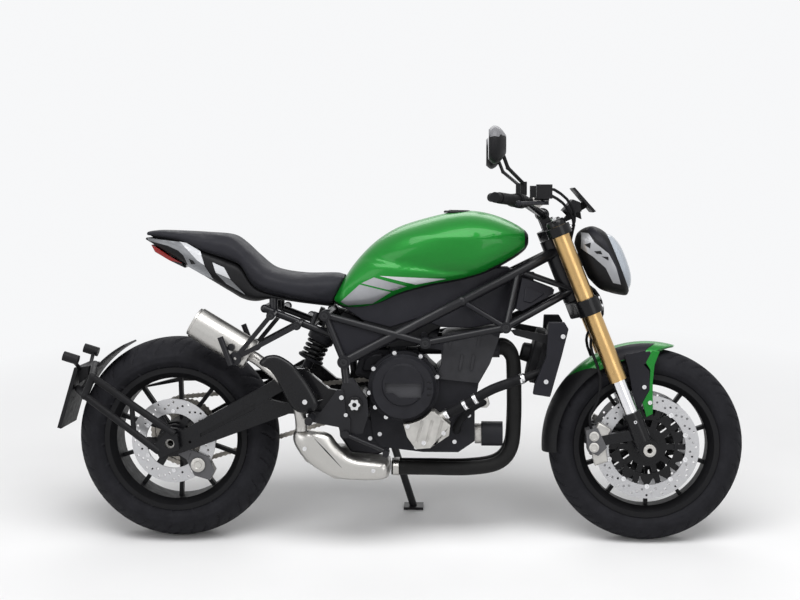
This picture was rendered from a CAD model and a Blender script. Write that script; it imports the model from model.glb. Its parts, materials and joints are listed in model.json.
"""Looks of the parked roadster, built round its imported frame.

Shapes are drawn in millimetres on the upright machine (+X forward, +Y to the rider's left, +Z up, zero
on the floor midway between the axles) and leaned onto the side stand when a piece is finished.
"""

import json
import math

import bmesh
import bpy
from bpy.props import FloatProperty, FloatVectorProperty, IntProperty, PointerProperty
from mathutils import Matrix, Vector


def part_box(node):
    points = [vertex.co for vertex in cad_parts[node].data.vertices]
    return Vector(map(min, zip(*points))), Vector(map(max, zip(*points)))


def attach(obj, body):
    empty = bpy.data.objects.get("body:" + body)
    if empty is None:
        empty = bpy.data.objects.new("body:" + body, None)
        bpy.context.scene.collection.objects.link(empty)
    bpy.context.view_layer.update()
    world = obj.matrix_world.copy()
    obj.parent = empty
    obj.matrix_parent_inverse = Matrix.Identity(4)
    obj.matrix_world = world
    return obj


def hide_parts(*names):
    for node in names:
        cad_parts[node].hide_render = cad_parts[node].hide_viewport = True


bl_info = {
    "name": "Parked Roadster Looks",
    "version": (1, 0, 0),
    "blender": (4, 5, 0),
    "location": "View3D > Sidebar > Roadster",
    "description": "Dresses the packed roadster with paint, padding, tread, chain links, screws and trim",
    "category": "Object",
}

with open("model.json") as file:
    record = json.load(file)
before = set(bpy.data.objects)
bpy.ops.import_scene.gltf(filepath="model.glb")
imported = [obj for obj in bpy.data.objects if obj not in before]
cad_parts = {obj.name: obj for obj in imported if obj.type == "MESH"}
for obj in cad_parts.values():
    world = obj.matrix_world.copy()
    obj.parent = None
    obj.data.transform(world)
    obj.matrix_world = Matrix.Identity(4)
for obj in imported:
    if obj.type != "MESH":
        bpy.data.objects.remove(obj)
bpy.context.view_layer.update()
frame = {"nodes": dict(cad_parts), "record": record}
BODY_OF = {node: body for body, nodes in frame["record"]["behaviour"]["bodies"].items() for node in nodes}
SLOT_OF = {part["node"]: part["material_slot"] for part in frame["record"]["subparts"]}

# Driving dimensions of the machine
MM = 0.001
LEAN = math.radians(10)
RAKE = math.radians(22)
WHEELBASE = 1460
FRONT_R, FRONT_W, FRONT_CROWN, FRONT_RIM_W = 300, 120, 62, 89
REAR_R, REAR_W, REAR_CROWN, REAR_RIM_W = 315, 180, 100, 140
BEAD_R = 216
FORK_OFFSET, FORK_HALF = 30, 105
AXLE_OFFSET = 38
CASE_HALF = 98
CHAIN_Y = CASE_HALF + 14
CLUTCH = Vector((-17, 0, 491))
CLUTCH_R = 101
FRONT_AXLE = Vector((WHEELBASE / 2, 0, FRONT_R - FRONT_CROWN + FRONT_CROWN / math.cos(LEAN)))
REAR_AXLE = Vector((-WHEELBASE / 2, 0, REAR_R - REAR_CROWN + REAR_CROWN / math.cos(LEAN)))
STEER_FWD = Vector((math.cos(RAKE), 0, math.sin(RAKE)))
STEER_UP = Vector((-math.sin(RAKE), 0, math.cos(RAKE)))
STEER_ORIGIN = FRONT_AXLE - AXLE_OFFSET * STEER_FWD
RIGHT, LEFT = Vector((0, -1, 0)), Vector((0, 1, 0))

# How meshes are finished: distances in millimetres, angles in degrees
WELD, NODE_WELD = 0.01, 0.02
FLAT, ROUND_FROM = 0.5, 35
TREAD_SHARP, MUD_SHARP, SHELL_SHARP, SOFT_SHARP = 30, 45, 50, 60
ROUND_SEGMENTS = 2


def parked_matrix():
    """Millimetres of the upright machine to metres of the leaning row frame."""
    low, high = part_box("front_tyre")
    turn = Matrix.Rotation(-LEAN, 4, "X")
    shift = (low + high) / 2 - turn @ (FRONT_AXLE * MM)
    return Matrix.Translation(shift) @ turn @ Matrix.Scale(MM, 4)


PARKED = parked_matrix()
UPRIGHT = PARKED.inverted()


def steered(x, y, z):
    """A point given along the steering axis: forward of it, to the left, up it."""
    return STEER_ORIGIN + x * STEER_FWD + Vector((0, y, 0)) + z * STEER_UP


def polar(centre, radius, turn, y=0):
    """A point round a centre as seen from the side, and a distance to the left of it."""
    return centre + Vector((radius * math.cos(turn), y, radius * math.sin(turn)))


def full_turn(steps):
    """Equal angles once round."""
    return [2 * math.pi * i / steps for i in range(steps)]


def mix(a, b, t):
    return a + (b - a) * t


def clamp(value, low=0.0, high=1.0):
    return max(low, min(high, value))


def fade(value, start, end):
    """Zero before start, one after end, smooth between."""
    t = clamp((value - start) / (end - start))
    return t * t * (3 - 2 * t)


def between(value, start, full, waning, end):
    """Rises from zero at start to one at full, and falls from waning to zero at end."""
    return fade(value, start, full) * (1 - fade(value, waning, end))


def spline(points, steps=8):
    """Smooth curve through rows of numbers, with that many places between each two."""
    rows = [list(p) for p in points]
    last = len(rows) - 1
    curve = []
    for i in range(last):
        a, b, c, d = rows[max(i - 1, 0)], rows[i], rows[i + 1], rows[min(i + 2, last)]
        for k in range(steps):
            t = k / steps
            curve.append([
                0.5 * (2 * q + (r - p) * t + (2 * p - 5 * q + 4 * r - s) * t * t
                       + (3 * q - p - 3 * r + s) * t ** 3)
                for p, q, r, s in zip(a, b, c, d)
            ])
    return curve + [rows[last]]


def lookup(x, table):
    """Height at x on a line of (x, z) points in rising order."""
    if x <= table[0][0]:
        return table[0][1]
    for (x0, z0), (x1, z1) in zip(table, table[1:]):
        if x <= x1:
            return mix(z0, z1, (x - x0) / (x1 - x0))
    return table[-1][1]


def signed_power(value, exponent):
    return math.copysign(abs(value) ** exponent, value)


def station_ring(station, sides):
    """Closed ring at one station: x, z low, z widest, z high, half width, squareness above and below."""
    x, low, widest, high, half, above, below = station
    ring = []
    for turn in full_turn(sides):
        c, s = math.cos(turn), math.sin(turn)
        square = above if s >= 0 else below
        rise = high - widest if s >= 0 else widest - low
        y, up = half * signed_power(c, 2 / square), rise * signed_power(s, 2 / square)
        ring.append(Vector((x, y, widest + up)))
    return ring


class Shape:
    """A mesh under construction, in millimetres of the upright machine."""

    def __init__(self):
        self.bm = bmesh.new()

    def everything(self):
        return self.bm.verts[:] + self.bm.edges[:] + self.bm.faces[:]

    def loft(self, rings, closed=False):
        """Skin over rings of equal length, capped at both ends unless it closes on itself."""
        rows = [[self.bm.verts.new(p) for p in ring] for ring in rings]
        pairs = list(zip(rows, rows[1:]))
        if closed:
            pairs.append((rows[-1], rows[0]))
        for a, b in pairs:
            for j in range(len(a)):
                k = (j + 1) % len(a)
                self.bm.faces.new((a[j], a[k], b[k], b[j]))
        if not closed:
            self.bm.faces.new(rows[0][::-1])
            self.bm.faces.new(rows[-1])
        return self

    def tube(self, path, radius, sides=28):
        """Round bar along a curve; radius is one number or one for each point."""
        points = [Vector(p) for p in path]
        radii = radius if isinstance(radius, (list, tuple)) else [radius] * len(points)
        last = len(points) - 1
        side = None
        rings = []
        for i, point in enumerate(points):
            along = (points[min(i + 1, last)] - points[max(i - 1, 0)]).normalized()
            if side is None:
                side = along.orthogonal().normalized()
            side = (side - along * side.dot(along)).normalized()
            other = along.cross(side)
            rings.append([
                point + radii[i] * (math.cos(t) * side + math.sin(t) * other) for t in full_turn(sides)
            ])
        return self.loft(rings)

    def lathe(self, profile, centre, axis, steps=32, closed=False):
        """Turned form: profile holds (distance along the axis, radius)."""
        axis = Vector(axis).normalized()
        side = axis.orthogonal().normalized()
        other = axis.cross(side)
        rows = []
        for turn in full_turn(steps):
            out = math.cos(turn) * side + math.sin(turn) * other
            ring = [Vector(centre) + along * axis + radius * out for along, radius in profile]
            rows.append([self.bm.verts.new(p) for p in ring])
        count = len(profile)
        for a, b in zip(rows, rows[1:] + rows[:1]):
            for j in range(count if closed else count - 1):
                k = (j + 1) % count
                self.bm.faces.new((a[j], b[j], b[k], a[k]))
        if not closed:
            self.bm.faces.new([row[0] for row in rows])
            self.bm.faces.new([row[-1] for row in rows][::-1])
        return self

    def slab(self, outline, start, end, place=None):
        """Outline in X and Z with a thickness along Y; place turns a point into one of the machine's."""
        place = place or (lambda x, y, z: Vector((x, y, z)))
        near = [self.bm.verts.new(place(x, start, z)) for x, z in outline]
        far = [self.bm.verts.new(place(x, end, z)) for x, z in outline]
        self.bm.faces.new(near)
        self.bm.faces.new(far[::-1])
        for j in range(len(outline)):
            k = (j + 1) % len(outline)
            self.bm.faces.new((near[j], far[j], far[k], near[k]))
        return self

    def waved_ring(self, centre, reach, wave, lobes, bore, start, end, steps):
        """Flat ring with a waved rim and a round bore, between two planes across the machine."""
        turns = full_turn(steps)
        rim = [reach + wave * math.cos(lobes * turn) for turn in turns]
        hole = [bore] * steps
        lines = ((rim, start), (rim, end), (hole, end), (hole, start))
        rings = [[polar(centre, r, turn, y) for r, turn in zip(radii, turns)] for radii, y in lines]
        return self.loft(rings, closed=True)

    def mirrored(self):
        """Adds the other side's copy across the machine's middle plane."""
        copy = bmesh.ops.duplicate(self.bm, geom=self.everything())
        for item in copy["geom"]:
            if isinstance(item, bmesh.types.BMVert):
                item.co.y = -item.co.y
        return self

    def piece(self, name, body, look, slot, replaces=(), sharp=38, bevel=0, look_of=None):
        """Ends the mesh as an object that rides on a body; look_of picks one of its looks for each face."""
        bmesh.ops.remove_doubles(self.bm, verts=self.bm.verts, dist=WELD)
        bmesh.ops.recalc_face_normals(self.bm, faces=self.bm.faces)
        if look_of:
            for face in self.bm.faces:
                face.material_index = look_of(face.calc_center_median())
        smoothed(self.bm, sharp)
        self.bm.transform(PARKED)
        looks = [look] if isinstance(look, str) else look
        return seated(modelled(self.bm, name, looks), body, slot, replaces, bevel)


def smoothed(bm, sharp):
    """Smooth shading, with hard edges where two faces meet at more than that many degrees."""
    for face in bm.faces:
        face.smooth = True
    for edge in bm.edges:
        if len(edge.link_faces) == 2 and edge.calc_face_angle(0) > math.radians(sharp):
            edge.smooth = False


def modelled(bm, name, looks):
    """Ends a mesh under construction as an object with its looks."""
    mesh = bpy.data.meshes.new(name)
    bm.to_mesh(mesh)
    bm.free()
    for look in looks:
        mesh.materials.append(finish(look))
    return bpy.data.objects.new(name, mesh)


def seated(obj, body, slot, replaces=(), bevel=0):
    """Links a finished object, rounds it and hands it to the frame."""
    if obj.name not in bpy.context.scene.collection.objects:
        bpy.context.scene.collection.objects.link(obj)
    if bevel:
        rounding = obj.modifiers.new("edge rounding", "BEVEL")
        rounding.width = bevel * MM
        rounding.segments = ROUND_SEGMENTS
        rounding.limit_method = "ANGLE"
        rounding.angle_limit = math.radians(ROUND_FROM)
    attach(obj, body)
    if replaces:
        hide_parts(*replaces)
    return obj


def recast(node, looks, pick=None, bevel=1.2, sharp=30):
    """Copy of a frame node with joined flat faces and rounded edges.

    pick(place, normal) gives the number of each face's look.
    """
    bm = bmesh.new()
    bm.from_mesh(frame["nodes"][node].data)
    bmesh.ops.remove_doubles(bm, verts=bm.verts, dist=NODE_WELD * MM)
    for face in bm.faces:
        face.material_index = 0
        if pick:
            normal = (UPRIGHT.to_3x3() @ face.normal).normalized()
            face.material_index = int(pick(UPRIGHT @ face.calc_center_median(), normal))
    bmesh.ops.dissolve_limit(
        bm, angle_limit=math.radians(FLAT), verts=bm.verts, edges=bm.edges, delimit={"MATERIAL"}
    )
    smoothed(bm, sharp)
    obj = modelled(bm, f"{node}_rounded", looks)
    return seated(obj, BODY_OF[node], SLOT_OF[node], [node], bevel)


def evaluated_mesh(obj):
    """Plain mesh of an object as its modifiers leave it."""
    return bpy.data.meshes.new_from_object(obj.evaluated_get(bpy.context.evaluated_depsgraph_get()))


def set_inputs(tree, node, sockets):
    """Sets a node's inputs by name: a value, or a link where another node's socket is given."""
    for name, value in sockets.items():
        socket = node.inputs[name.replace("_", " ")]
        if isinstance(value, bpy.types.NodeSocket):
            tree.links.new(value, socket)
        else:
            socket.default_value = value


def add_node(tree, kind, **sockets):
    node = tree.nodes.new(kind)
    set_inputs(tree, node, sockets)
    return node


def stored_value(tree, name, kind):
    """A value that each point of the scattered mesh carries."""
    node = tree.nodes.new("GeometryNodeInputNamedAttribute")
    node.data_type = kind
    node.inputs["Name"].default_value = name
    return node.outputs["Attribute"]


def scatter_tree(name, draw):
    """Node tree that sets a small shape on every point, turned and sized by the point's own values."""
    tree = bpy.data.node_groups.new(name, "GeometryNodeTree")
    for socket, kind in (("Points", "Geometry"), ("Size", "Float"), ("Finish", "Material")):
        tree.interface.new_socket(socket, in_out="INPUT", socket_type=f"NodeSocket{kind}")
    tree.interface.new_socket("Shapes", in_out="OUTPUT", socket_type="NodeSocketGeometry")
    given = tree.nodes.new("NodeGroupInput").outputs
    euler = stored_value(tree, "turn", "FLOAT_VECTOR")
    rotation = add_node(tree, "FunctionNodeEulerToRotation", Euler=euler)
    scale = tree.nodes.new("ShaderNodeMath")
    scale.operation = "MULTIPLY"
    tree.links.new(stored_value(tree, "size", "FLOAT"), scale.inputs[0])
    tree.links.new(given["Size"], scale.inputs[1])
    placed = add_node(
        tree, "GeometryNodeInstanceOnPoints", Points=given["Points"], Instance=draw(tree),
        Rotation=rotation.outputs["Rotation"], Scale=scale.outputs["Value"],
    )
    real = add_node(tree, "GeometryNodeRealizeInstances", Geometry=placed.outputs["Instances"])
    shapes = real.outputs["Geometry"]
    coloured = add_node(tree, "GeometryNodeSetMaterial", Geometry=shapes, Material=given["Finish"])
    add_node(tree, "NodeGroupOutput", Shapes=coloured.outputs["Geometry"])
    return tree


def drum(tree, sides, radius, depth):
    return add_node(tree, "GeometryNodeMeshCylinder", Vertices=sides, Radius=radius, Depth=depth)


def socket_head(tree):
    """Screw head, one unit across, with a round recess for its key."""
    head = drum(tree, 12, 0.5, 0.6).outputs
    rim = add_node(
        tree, "GeometryNodeExtrudeMesh", Mesh=head["Mesh"], Selection=head["Top"], Offset_Scale=0.0,
        Individual=False,
    ).outputs
    narrowed = add_node(
        tree, "GeometryNodeScaleElements", Geometry=rim["Mesh"], Selection=rim["Top"], Scale=0.55
    ).outputs
    recess = add_node(
        tree, "GeometryNodeExtrudeMesh", Mesh=narrowed["Geometry"], Selection=rim["Top"], Offset_Scale=-0.3,
        Individual=False,
    )
    return recess.outputs["Mesh"]


def link_plate(tree):
    """Chain side plate, one pitch long, waisted in the middle."""
    joined = tree.nodes.new("GeometryNodeJoinGeometry")
    for x, radius, stretch in ((-0.5, 0.46, (1, 1, 1)), (0.5, 0.46, (1, 1, 1)), (0, 0.36, (1.5, 1, 0.96))):
        end = drum(tree, 14, radius, 0.14).outputs["Mesh"]
        moved = add_node(tree, "GeometryNodeTransform", Geometry=end, Translation=(x, 0, 0), Scale=stretch)
        tree.links.new(moved.outputs["Geometry"], joined.inputs["Geometry"])
    return joined.outputs["Geometry"]


def chain_roller(tree):
    """Roller and pin of one chain joint, across the chain."""
    joined = tree.nodes.new("GeometryNodeJoinGeometry")
    for radius, depth in ((0.32, 0.62), (0.16, 1.24)):
        tree.links.new(drum(tree, 12, radius, depth).outputs["Mesh"], joined.inputs["Geometry"])
    return joined.outputs["Geometry"]


def scatter(name, draw, points, look, slot, body, scale=1.0, replaces=()):
    """Small repeated shapes on one body.

    points hold a place, an outward axis, a size and maybe the way they lie.
    """
    mesh = bpy.data.meshes.new(f"{name}_points")
    mesh.from_pydata([PARKED @ Vector(p[0]) for p in points], [], [])
    mesh.attributes.new("turn", "FLOAT_VECTOR", "POINT")
    mesh.attributes.new("size", "FLOAT", "POINT")
    turns, sizes = mesh.attributes["turn"], mesh.attributes["size"]
    lean = PARKED.to_quaternion()
    for i, (_, axis, size, *along) in enumerate(points):
        out = (lean @ Vector(axis)).normalized()
        side = (lean @ Vector(along[0])).normalized() if along else out.orthogonal().normalized()
        turns.data[i].vector = Matrix((side, out.cross(side), out)).transposed().to_euler()
        sizes.data[i].value = size * MM
    obj = bpy.data.objects.new(name, mesh)
    bpy.context.scene.collection.objects.link(obj)
    grow = obj.modifiers.new("scatter", "NODES")
    grow.node_group = scatter_tree(f"{name}_tree", draw)
    items = grow.node_group.interface.items_tree
    sockets = {item.name: item.identifier for item in items if item.in_out == "INPUT"}
    grow[sockets["Size"]] = scale
    grow[sockets["Finish"]] = finish(look)
    solid = evaluated_mesh(obj)
    obj.modifiers.remove(grow)
    obj.data = solid
    for each in list(solid.attributes):
        if each.name in ("turn", "size"):
            solid.attributes.remove(each)
    return seated(obj, body, slot, replaces)


class Recipe:
    """One node material: a Principled surface and the textures that feed it."""

    def __init__(self, name, **sockets):
        self.material = bpy.data.materials.new(name)
        self.material.use_nodes = True
        self.tree = self.material.node_tree
        self.surface = self.tree.nodes["Principled BSDF"]
        self.place = self.tree.nodes.new("ShaderNodeTexCoord").outputs["Object"]
        self.surfaced(**sockets)

    def surfaced(self, **sockets):
        set_inputs(self.tree, self.surface, sockets)
        return self

    def noise(self, scale, detail, stretch=None):
        place = self.place
        if stretch:
            place = add_node(self.tree, "ShaderNodeMapping", Vector=place, Scale=stretch).outputs["Vector"]
        node = add_node(self.tree, "ShaderNodeTexNoise", Vector=place, Scale=scale, Detail=detail)
        return node.outputs["Fac"]

    def cells(self, scale, output="Distance"):
        return add_node(self.tree, "ShaderNodeTexVoronoi", Vector=self.place, Scale=scale).outputs[output]

    def ranged(self, value, low, high, source=(0.3, 0.7)):
        node = add_node(
            self.tree, "ShaderNodeMapRange", Value=value, From_Min=source[0], From_Max=source[1],
            To_Min=low, To_Max=high,
        )
        return node.outputs["Result"]

    def tint(self, value, dark, light, low=0.3, high=0.7):
        ramp = add_node(self.tree, "ShaderNodeValToRGB", Fac=value)
        first, last = ramp.color_ramp.elements
        first.position, first.color = low, (*dark, 1)
        last.position, last.color = high, (*light, 1)
        return self.surfaced(Base_Color=ramp.outputs["Color"])

    def rough(self, value, low, high):
        return self.surfaced(Roughness=self.ranged(value, low, high))

    def bump(self, value, depth, strength=1.0):
        node = add_node(self.tree, "ShaderNodeBump", Height=value, Distance=depth * MM, Strength=strength)
        return self.surfaced(Normal=node.outputs["Normal"])


def shade(colour, factor):
    return tuple(clamp(c * factor) for c in colour[:3])


def grained(name, colour, mottle, wear, skin, **sockets):
    """Finish with mottled colour, uneven gloss and a fine skin.

    mottle holds scale, detail, darkest and lightest share of the colour; wear holds scale, detail, least
    and most roughness; skin holds scale, detail and depth, with no detail for cells in place of noise.
    """
    recipe = Recipe(name, **sockets)
    scale, detail, dark, light = mottle
    recipe.tint(recipe.noise(scale, detail), shade(colour, dark), shade(colour, light))
    scale, detail, low, high = wear
    recipe.rough(recipe.noise(scale, detail), low, high)
    scale, detail, depth = skin
    recipe.bump(recipe.noise(scale, detail) if detail else recipe.cells(scale), depth)
    return recipe.material


def painted(name, colour, grain=0.03, rough=(0.3, 0.42), metal=0.0, coat=0.0):
    """Sprayed finish with a fine orange peel and faint mottling."""
    return grained(
        name, colour, (14, 5, 0.86, 1.1), (60, 3, *rough), (900, 2, grain),
        Metallic=metal, Coat_Weight=coat, Coat_Roughness=0.08, Specular_IOR_Level=0.14,
    )


def cast(name, colour, metal, rough):
    """Sand-cast alloy with a pebbled skin."""
    return grained(
        name, colour, (30, 6, 0.86, 1.14), (120, 4, *rough), (700, 3, 0.12),
        Metallic=metal, Specular_IOR_Level=0.16,
    )


def plated(name, colour, rough=(0.05, 0.12)):
    """Bright plating or anodising with faint handling marks."""
    return grained(name, colour, (9, 4, 0.93, 1.05), (45, 6, *rough), (500, 2, 0.004), Metallic=1.0)


def moulded(name, colour, rough=(0.45, 0.6), grain=0.06):
    """Moulded plastic with a fine spark-eroded grain."""
    return grained(
        name, colour, (18, 4, 0.88, 1.12), (70, 3, *rough), (1400, None, grain), Specular_IOR_Level=0.14
    )


def rubbered(name, colour, rough=(0.6, 0.8)):
    """Rubber with a dusty sheen and moulding specks."""
    return grained(
        name, colour, (26, 7, 0.82, 1.2), (90, 4, *rough), (1100, 3, 0.06), Specular_IOR_Level=0.1
    )


def candy(name, colour):
    """Clear coat over coloured metal flake."""
    recipe = Recipe(
        name, Metallic=0.3, Roughness=0.38, Coat_Weight=0.3, Coat_Roughness=0.05, Specular_IOR_Level=0.15
    )
    recipe.tint(recipe.cells(2600, "Color"), shade(colour, 0.75), shade(colour, 1.25), 0.1, 0.9)
    return recipe.bump(recipe.noise(220, 1), 0.012).material


def brushed(name, colour, lines=2400, rough=(0.26, 0.4)):
    """Machined or brushed metal with very fine lines."""
    recipe = Recipe(name, Metallic=1.0, Anisotropic=0.3)
    grain = recipe.noise(lines, 2, (1, 1, 0.04))
    recipe.tint(grain, shade(colour, 0.94), shade(colour, 1.05))
    return recipe.rough(grain, *rough).bump(grain, 0.004).material


def hide(name, colour):
    """Embossed seat cover: small pebbles, creases between them and a soft sheen."""
    recipe = Recipe(name, Sheen_Weight=0.03, Sheen_Roughness=0.4, Specular_IOR_Level=0.16)
    recipe.tint(recipe.noise(7, 5), shade(colour, 0.82), shade(colour, 1.15))
    recipe.rough(recipe.noise(40, 4), 0.5, 0.66)
    return recipe.bump(recipe.cells(620), 0.22, 0.6).material


def glassy(name, colour, transmission, rough):
    """Clear or coloured lens with a faint ripple."""
    recipe = Recipe(name, Transmission_Weight=transmission, IOR=1.49, Roughness=rough)
    recipe.tint(recipe.noise(6, 2), shade(colour, 0.95), shade(colour, 1.0))
    return recipe.bump(recipe.noise(160, 1), 0.008).material


FINISHES = {}


def finish(name):
    return FINISHES[name]


SCREW = 13


class RoadsterColours(bpy.types.PropertyGroup):
    """Colours of the machine's finishes."""

    def colour(label, text, value):
        return FloatVectorProperty(
            name=label, description=text, subtype="COLOR", size=3, min=0, max=1, default=value
        )

    paint: colour("Paint", "Flake paint of the tank and front mudguard", (0.006, 0.175, 0.018))
    panel: colour("Panel", "Silver-grey knee panels and lamp trim", (0.29, 0.295, 0.31))
    cover: colour("Seat cover", "Embossed cover of the seat", (0.014, 0.014, 0.018))
    frame_coat: colour("Frame", "Satin coat of the tubes", (0.010, 0.010, 0.012))
    gold: colour("Fork tubes", "Anodising of the upper fork tubes", (0.51, 0.335, 0.145))
    engine: colour("Engine", "Dark cast engine cases", (0.015, 0.015, 0.018))
    steel: colour("Steel", "Brushed exhaust and discs", (0.47, 0.46, 0.44))
    lamp: colour("Rear lamp", "Red lens under the tail", (0.30, 0.010, 0.008))


class RoadsterSizes(bpy.types.PropertyGroup):
    """Sizes of what is added to the frame."""

    def length(label, text, value):
        return FloatProperty(name=label, description=text, unit="LENGTH", default=value)

    groove: length("Tread groove", "Depth of the tyre grooves", 4.5 * MM)
    pitches: IntProperty(
        name="Tread pitches", description="Repeats of the tread round a tyre", default=22, min=8
    )
    swell: length("Seat swell", "Most that the cover swells", 5 * MM)
    screw: length("Screw head", "Diameter of a cover screw's head", SCREW * MM)
    key_light: FloatProperty(
        name="Key light", description="Power of the large overhead lamp", unit="POWER", default=190
    )


def make_finishes(colours):
    """Every finish that the machine carries, by its plain name."""
    FINISHES.update({
        "flake paint": candy("flake_paint", colours.paint),
        "silver panel": painted("silver_panel", colours.panel, metal=0.3, coat=0.3),
        "pale panel": painted("pale_panel", (0.55, 0.56, 0.58), metal=0.1, coat=0.2),
        "cover window": painted("cover_window", (0.052, 0.052, 0.057), rough=(0.3, 0.4)),
        "grey panel": painted("grey_panel", (0.17, 0.175, 0.185), metal=0.3, coat=0.2),
        "mirror cap": moulded("mirror_cap", (0.17, 0.17, 0.18), rough=(0.3, 0.4), grain=0.02),
        "wheel black": painted("wheel_black", (0.007, 0.007, 0.008), rough=(0.42, 0.55)),
        "seat cover": hide("seat_cover_grain", colours.cover),
        "frame coat": painted("frame_coat", colours.frame_coat, rough=(0.32, 0.46), coat=0.22),
        "gloss black": painted("gloss_black", (0.006, 0.006, 0.007), rough=(0.24, 0.34), coat=0.18),
        "moulded black": moulded("moulded_black", (0.009, 0.009, 0.010)),
        "moulded grey": moulded("moulded_grey", (0.012, 0.012, 0.0155), rough=(0.42, 0.54)),
        "cover grey": moulded("cover_grey", (0.021, 0.021, 0.026), rough=(0.4, 0.52)),
        "gold": plated("gold_anodising", colours.gold, (0.26, 0.38)),
        "chrome": plated("hard_chrome", (0.78, 0.78, 0.80)),
        "dark cast": cast("dark_cast", colours.engine, 0.2, (0.4, 0.56)),
        "grey cast": cast("grey_cast", (0.034, 0.034, 0.037), 0.4, (0.4, 0.56)),
        "bright cast": cast("bright_cast", (0.44, 0.43, 0.41), 0.8, (0.36, 0.52)),
        "brushed steel": brushed("brushed_steel", colours.steel),
        "disc steel": brushed("disc_steel", (0.46, 0.46, 0.47), 1800, (0.3, 0.44)),
        "header coat": painted("header_coat", (0.010, 0.010, 0.010), 0.08, (0.5, 0.66)),
        "tyre": rubbered("tyre_rubber", (0.0125, 0.0125, 0.0150)),
        "rubber": rubbered("moulded_rubber", (0.008, 0.008, 0.009), (0.5, 0.68)),
        "chain steel": brushed("chain_steel", (0.32, 0.30, 0.27)),
        "caliper": painted("caliper_coat", (0.10, 0.10, 0.105), 0.05, (0.36, 0.5), metal=0.4),
        "bolt": plated("zinc_bolt", (0.70, 0.70, 0.71), (0.22, 0.36)),
        "dark bolt": plated("black_bolt", (0.04, 0.04, 0.042), (0.3, 0.45)),
        "clear lens": glassy("clear_lens", (0.44, 0.48, 0.53), 0.2, 0.08),
        "red lens": glassy("red_lens", colours.lamp, 0.15, 0.1),
        "smoked screen": glassy("smoked_screen", (0.012, 0.012, 0.014), 0.15, 0.06),
        "mirror glass": plated("mirror_glass", (0.86, 0.87, 0.88), (0.01, 0.03)),
        "dial": painted("dial_face", (0.012, 0.016, 0.02), rough=(0.08, 0.14)),
    })


# Look of each node of the frame, and of its rounded copy where it has one
NODE_FINISH = {
    "frame coat": [
        "frame", "subframe", "passenger_brackets", "rider_footrests", "foot_levers", "side_stand",
    ],
    "wheel black": ["front_rim", "rear_rim"],
    "gloss black": ["fork_feet", "yokes", "handlebar", "swingarm", "exhaust_guard"],
    "moulded black": [
        "airbox", "plate_carrier", "controls", "headlight_shell", "instrument", "mirrors", "radiator",
    ],
    "moulded grey": ["radiator_shrouds", "levers"],
    "dark cast": ["crankcase", "clutch_cover", "left_engine_covers", "oil_filter", "shock_absorber"],
    "grey cast": ["cylinder_head"],
    "bright cast": ["water_pump", "swingarm_pivot", "rear_axle", "front_axle"],
    "rubber": ["coolant_hose", "grips", "brake_hoses"],
    "header coat": ["exhaust_headers"],
    "brushed steel": ["exhaust_chamber", "exhaust_link", "silencer"],
    "flake paint": ["fuel_tank", "front_mudguard"],
    "seat cover": ["seat"],
    "grey panel": ["tail_cowl"],
    "red lens": ["tail_lamp"],
    "caliper": ["rear_caliper", "front_calipers"],
    "chain steel": ["chain", "rear_sprocket"],
    "gold": ["fork_tubes"],
    "chrome": ["fork_sliders"],
    "clear lens": ["headlight_lens"],
    "tyre": ["front_tyre", "rear_tyre"],
    "disc steel": ["front_discs", "rear_disc"],
}
LOOK_OF = {node: look for look, nodes in NODE_FINISH.items() for node in nodes}


class ROADSTER_OT_finishes(bpy.types.Operator):
    """Makes every finish and gives one to each node of the frame"""

    bl_idname = "roadster.finishes"
    bl_label = "Finishes"

    def execute(self, context):
        make_finishes(context.scene.roadster_colours)
        for node, look in LOOK_OF.items():
            mesh = frame["nodes"][node].data
            mesh.materials.clear()
            mesh.materials.append(finish(look))
        return {"FINISHED"}


def station_at(curve, x):
    """A station curve's values at any x."""
    if x <= curve[0][0]:
        return curve[0]
    for a, b in zip(curve, curve[1:]):
        if x <= b[0]:
            share = (x - a[0]) / max(b[0] - a[0], 1e-6)
            return tuple(mix(p, q, share) for p, q in zip(a, b))
    return curve[-1]


def curve_side(curve, x, z):
    """Half width of a station curve's side at a place seen from the side."""
    _, low, widest, high, half, above, below = station_at(curve, x)
    reach, square = (high - widest, above) if z >= widest else (widest - low, below)
    inside = 1 - clamp(abs(z - widest) / reach) ** square
    return half * inside ** (1 / square)


PANEL_DEPTH = 1.5


def panel(outline, side_of, lift, step, place):
    """Thin patches that follow both sides of a form; side_of gives its half width at x and z."""
    shape = Shape()
    bm = shape.bm
    bm.faces.new([bm.verts.new((x, 0, z)) for x, z in outline])
    for axis, normal in ((0, Vector((1, 0, 0))), (2, Vector((0, 0, 1)))):
        values = [v.co[axis] for v in bm.verts]
        for i in range(int((max(values) - min(values)) / step)):
            cut = normal * (min(values) + (i + 1) * step)
            bmesh.ops.bisect_plane(bm, geom=shape.everything(), plane_co=cut, plane_no=normal)
    for vert in bm.verts:
        vert.co.y = side_of(vert.co.x, vert.co.z) + lift
    inner = bmesh.ops.duplicate(bm, geom=shape.everything())
    for item in inner["geom"]:
        if isinstance(item, bmesh.types.BMVert):
            item.co.y -= lift + PANEL_DEPTH
    bmesh.ops.bridge_loops(bm, edges=[e for e in bm.edges if len(e.link_faces) == 1])
    shape.mirrored()
    if place:
        for vert in bm.verts:
            vert.co = place(*vert.co)
    return shape


def lay_panels(panels, side_of, body, slot, step=7, place=None):
    """Panels on both sides of a form, each with its outline, its look and how far it stands off."""
    for name, (outline, look, lift) in panels.items():
        panel(outline, side_of, lift, step, place).piece(name, body, look, slot, sharp=SOFT_SHARP)


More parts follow.
